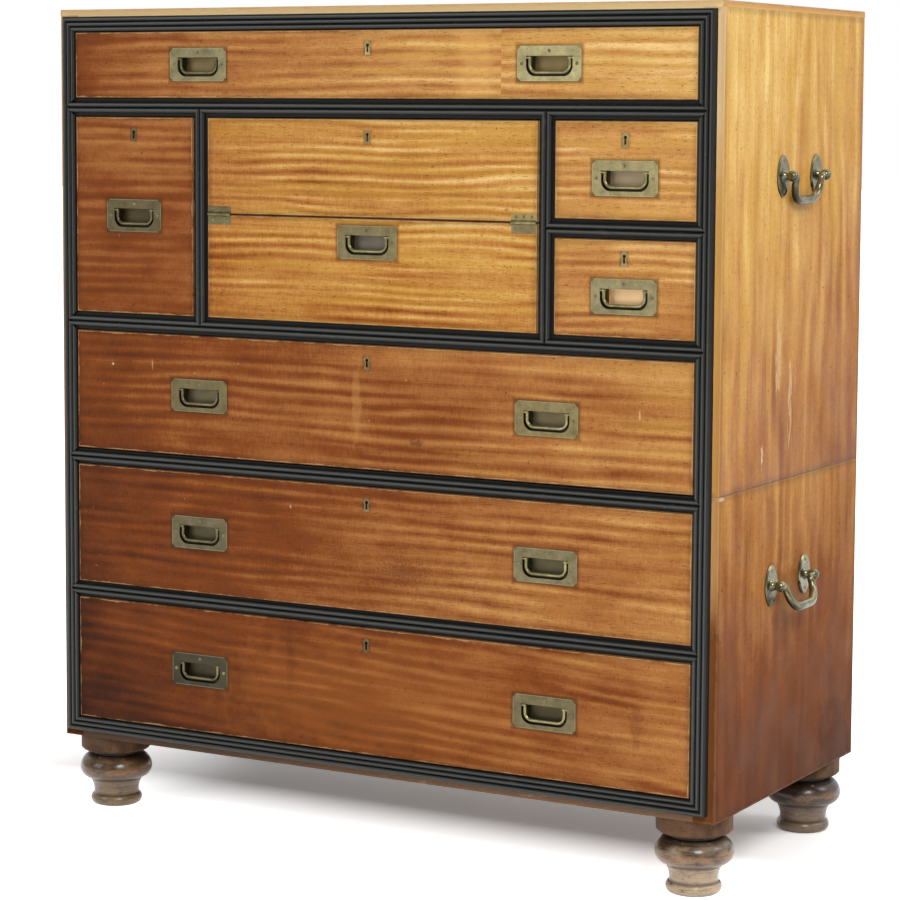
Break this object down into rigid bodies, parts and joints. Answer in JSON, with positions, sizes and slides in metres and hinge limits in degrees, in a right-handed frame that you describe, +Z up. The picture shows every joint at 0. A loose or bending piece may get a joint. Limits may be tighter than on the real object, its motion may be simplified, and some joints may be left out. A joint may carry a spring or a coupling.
{
  "type": "campaign chest",
  "caption": "Tall two-part campaign chest with a secretaire drawer behind a falling flap, flush brass pulls, carrying handles on its sides, reeded black mouldings and turned feet.",
  "frame": {"origin": "on the floor, under the middle of the chest's length and depth", "axes": "+X to the right as seen from the front, +Y to the back, +Z up; the drawers face -Y"},
  "size_m": [1.0628, 0.472, 1.117],
  "materials": {
    "camphorwood": "waxed and worn, figured grain",
    "drawer_lining": "planed, unpolished",
    "back_boards": "rough, unpolished",
    "secretaire_lining": "thinly waxed",
    "ebonised_wood": "stained black and polished",
    "turned_wood": "dark, polished and rubbed",
    "brass": "aged, dull"
  },
  "bodies": {
    "lower_case": {"lower_sides": "camphorwood", "lower_top": "camphorwood", "lower_shelves": "camphorwood", "lower_back": "back_boards", "lower_mouldings": "ebonised_wood", "foot_pads": "turned_wood", "lower_handle_plates": "brass"},
    "upper_case": {"upper_sides": "camphorwood", "upper_top": "camphorwood", "upper_partitions": "camphorwood", "upper_back": "back_boards", "upper_mouldings": "ebonised_wood", "upper_handle_plates": "brass"},
    "top_drawer": {"top_drawer_front": "camphorwood", "top_drawer_box": "drawer_lining", "top_drawer_brasses": "brass"},
    "top_drawer_left_bail": {"top_drawer_left_bail": "brass"},
    "top_drawer_right_bail": {"top_drawer_right_bail": "brass"},
    "deep_drawer": {"deep_drawer_front": "camphorwood", "deep_drawer_box": "drawer_lining", "deep_drawer_brasses": "brass"},
    "deep_drawer_bail": {"deep_drawer_bail": "brass"},
    "secretaire_drawer": {"secretaire_drawer_front": "camphorwood", "secretaire_drawer_box": "drawer_lining", "secretaire_drawer_brasses": "brass", "secretaire_pigeonholes": "secretaire_lining"},
    "secretaire_drawer_bail": {"secretaire_drawer_bail": "brass"},
    "small_upper_drawer": {"small_upper_drawer_front": "camphorwood", "small_upper_drawer_box": "drawer_lining", "small_upper_drawer_brasses": "brass"},
    "small_upper_drawer_bail": {"small_upper_drawer_bail": "brass"},
    "small_lower_drawer": {"small_lower_drawer_front": "camphorwood", "small_lower_drawer_box": "drawer_lining", "small_lower_drawer_brasses": "brass"},
    "small_lower_drawer_bail": {"small_lower_drawer_bail": "brass"},
    "long_drawer": {"long_drawer_front": "camphorwood", "long_drawer_box": "drawer_lining", "long_drawer_brasses": "brass"},
    "long_drawer_left_bail": {"long_drawer_left_bail": "brass"},
    "long_drawer_right_bail": {"long_drawer_right_bail": "brass"},
    "middle_drawer": {"middle_drawer_front": "camphorwood", "middle_drawer_box": "drawer_lining", "middle_drawer_brasses": "brass"},
    "middle_drawer_left_bail": {"middle_drawer_left_bail": "brass"},
    "middle_drawer_right_bail": {"middle_drawer_right_bail": "brass"},
    "bottom_drawer": {"bottom_drawer_front": "camphorwood", "bottom_drawer_box": "drawer_lining", "bottom_drawer_brasses": "brass"},
    "bottom_drawer_left_bail": {"bottom_drawer_left_bail": "brass"},
    "bottom_drawer_right_bail": {"bottom_drawer_right_bail": "brass"},
    "flap": {"secretaire_flap": "camphorwood", "flap_brasses": "brass"},
    "lower_left_carrying_bail": {"lower_left_carrying_bail": "brass"},
    "lower_right_carrying_bail": {"lower_right_carrying_bail": "brass"},
    "upper_left_carrying_bail": {"upper_left_carrying_bail": "brass"},
    "upper_right_carrying_bail": {"upper_right_carrying_bail": "brass"},
    "foot_front_left": {"foot_front_left": "turned_wood"},
    "foot_front_right": {"foot_front_right": "turned_wood"},
    "foot_back_left": {"foot_back_left": "turned_wood"},
    "foot_back_right": {"foot_back_right": "turned_wood"}
  },
  "joints": [
    {"name": "upper_case_lift", "type": "slide", "parent": "lower_case", "child": "upper_case", "axis": [0, 0, 1], "range_m": [0, 0.08]},
    {"name": "top_drawer_slide", "type": "slide", "parent": "upper_case", "child": "top_drawer", "axis": [0, -1, 0], "range_m": [0, 0.33]},
    {"name": "top_drawer_left_bail_swing", "type": "hinge", "parent": "top_drawer", "child": "top_drawer_left_bail", "pos_m": [-0.265, -0.23125, 1.04845], "axis": [-1, 0, 0], "range_deg": [0, 90]},
    {"name": "top_drawer_right_bail_swing", "type": "hinge", "parent": "top_drawer", "child": "top_drawer_right_bail", "pos_m": [0.265, -0.23125, 1.04845], "axis": [-1, 0, 0], "range_deg": [0, 90]},
    {"name": "deep_drawer_slide", "type": "slide", "parent": "upper_case", "child": "deep_drawer", "axis": [0, -1, 0], "range_m": [0, 0.33]},
    {"name": "deep_drawer_bail_swing", "type": "hinge", "parent": "deep_drawer", "child": "deep_drawer_bail", "pos_m": [-0.37125, -0.23125, 0.84395], "axis": [-1, 0, 0], "range_deg": [0, 90]},
    {"name": "secretaire_drawer_slide", "type": "slide", "parent": "upper_case", "child": "secretaire_drawer", "axis": [0, -1, 0], "range_m": [0, 0.26]},
    {"name": "secretaire_drawer_bail_swing", "type": "hinge", "parent": "secretaire_drawer", "child": "secretaire_drawer_bail", "pos_m": [0, -0.23125, 0.8172], "axis": [-1, 0, 0], "range_deg": [0, 90]},
    {"name": "small_upper_drawer_slide", "type": "slide", "parent": "upper_case", "child": "small_upper_drawer", "axis": [0, -1, 0], "range_m": [0, 0.33]},
    {"name": "small_upper_drawer_bail_swing", "type": "hinge", "parent": "small_upper_drawer", "child": "small_upper_drawer_bail", "pos_m": [0.37125, -0.23125, 0.90695], "axis": [-1, 0, 0], "range_deg": [0, 90]},
    {"name": "small_lower_drawer_slide", "type": "slide", "parent": "upper_case", "child": "small_lower_drawer", "axis": [0, -1, 0], "range_m": [0, 0.33]},
    {"name": "small_lower_drawer_bail_swing", "type": "hinge", "parent": "small_lower_drawer", "child": "small_lower_drawer_bail", "pos_m": [0.37125, -0.23125, 0.7607], "axis": [-1, 0, 0], "range_deg": [0, 90]},
    {"name": "long_drawer_slide", "type": "slide", "parent": "upper_case", "child": "long_drawer", "axis": [0, -1, 0], "range_m": [0, 0.33]},
    {"name": "long_drawer_left_bail_swing", "type": "hinge", "parent": "long_drawer", "child": "long_drawer_left_bail", "pos_m": [-0.265, -0.23125, 0.6022], "axis": [-1, 0, 0], "range_deg": [0, 90]},
    {"name": "long_drawer_right_bail_swing", "type": "hinge", "parent": "long_drawer", "child": "long_drawer_right_bail", "pos_m": [0.265, -0.23125, 0.6022], "axis": [-1, 0, 0], "range_deg": [0, 90]},
    {"name": "middle_drawer_slide", "type": "slide", "parent": "lower_case", "child": "middle_drawer", "axis": [0, -1, 0], "range_m": [0, 0.33]},
    {"name": "middle_drawer_left_bail_swing", "type": "hinge", "parent": "middle_drawer", "child": "middle_drawer_left_bail", "pos_m": [-0.265, -0.23125, 0.4147], "axis": [-1, 0, 0], "range_deg": [0, 90]},
    {"name": "middle_drawer_right_bail_swing", "type": "hinge", "parent": "middle_drawer", "child": "middle_drawer_right_bail", "pos_m": [0.265, -0.23125, 0.4147], "axis": [-1, 0, 0], "range_deg": [0, 90]},
    {"name": "bottom_drawer_slide", "type": "slide", "parent": "lower_case", "child": "bottom_drawer", "axis": [0, -1, 0], "range_m": [0, 0.33]},
    {"name": "bottom_drawer_left_bail_swing", "type": "hinge", "parent": "bottom_drawer", "child": "bottom_drawer_left_bail", "pos_m": [-0.265, -0.23125, 0.2252], "axis": [-1, 0, 0], "range_deg": [0, 90]},
    {"name": "bottom_drawer_right_bail_swing", "type": "hinge", "parent": "bottom_drawer", "child": "bottom_drawer_right_bail", "pos_m": [0.265, -0.23125, 0.2252], "axis": [-1, 0, 0], "range_deg": [0, 90]},
    {"name": "flap_fall", "type": "hinge", "parent": "secretaire_drawer", "child": "flap", "pos_m": [0, -0.23275, 0.842], "axis": [1, 0, 0], "range_deg": [0, 90]},
    {"name": "lower_left_carrying_bail_swing", "type": "hinge", "parent": "lower_case", "child": "lower_left_carrying_bail", "pos_m": [-0.5145, -0.00545, 0.3785], "axis": [0, 1, 0], "range_deg": [-32, 160]},
    {"name": "lower_right_carrying_bail_swing", "type": "hinge", "parent": "lower_case", "child": "lower_right_carrying_bail", "pos_m": [0.5145, -0.00545, 0.3785], "axis": [0, -1, 0], "range_deg": [-32, 160]},
    {"name": "upper_left_carrying_bail_swing", "type": "hinge", "parent": "upper_case", "child": "upper_left_carrying_bail", "pos_m": [-0.5145, 0.01365, 0.9015], "axis": [0, 1, 0], "range_deg": [-2, 190]},
    {"name": "upper_right_carrying_bail_swing", "type": "hinge", "parent": "upper_case", "child": "upper_right_carrying_bail", "pos_m": [0.5145, 0.01365, 0.9015], "axis": [0, -1, 0], "range_deg": [-2, 190]},
    {"name": "foot_front_left_turn", "type": "hinge", "parent": "lower_case", "child": "foot_front_left", "pos_m": [-0.45, -0.17425, 0], "axis": [0, 0, 1], "continuous": true},
    {"name": "foot_front_right_turn", "type": "hinge", "parent": "lower_case", "child": "foot_front_right", "pos_m": [0.45, -0.17425, 0], "axis": [0, 0, 1], "continuous": true},
    {"name": "foot_back_left_turn", "type": "hinge", "parent": "lower_case", "child": "foot_back_left", "pos_m": [-0.45, 0.18575, 0], "axis": [0, 0, 1], "continuous": true},
    {"name": "foot_back_right_turn", "type": "hinge", "parent": "lower_case", "child": "foot_back_right", "pos_m": [0.45, 0.18575, 0], "axis": [0, 0, 1], "continuous": true}
  ]
}
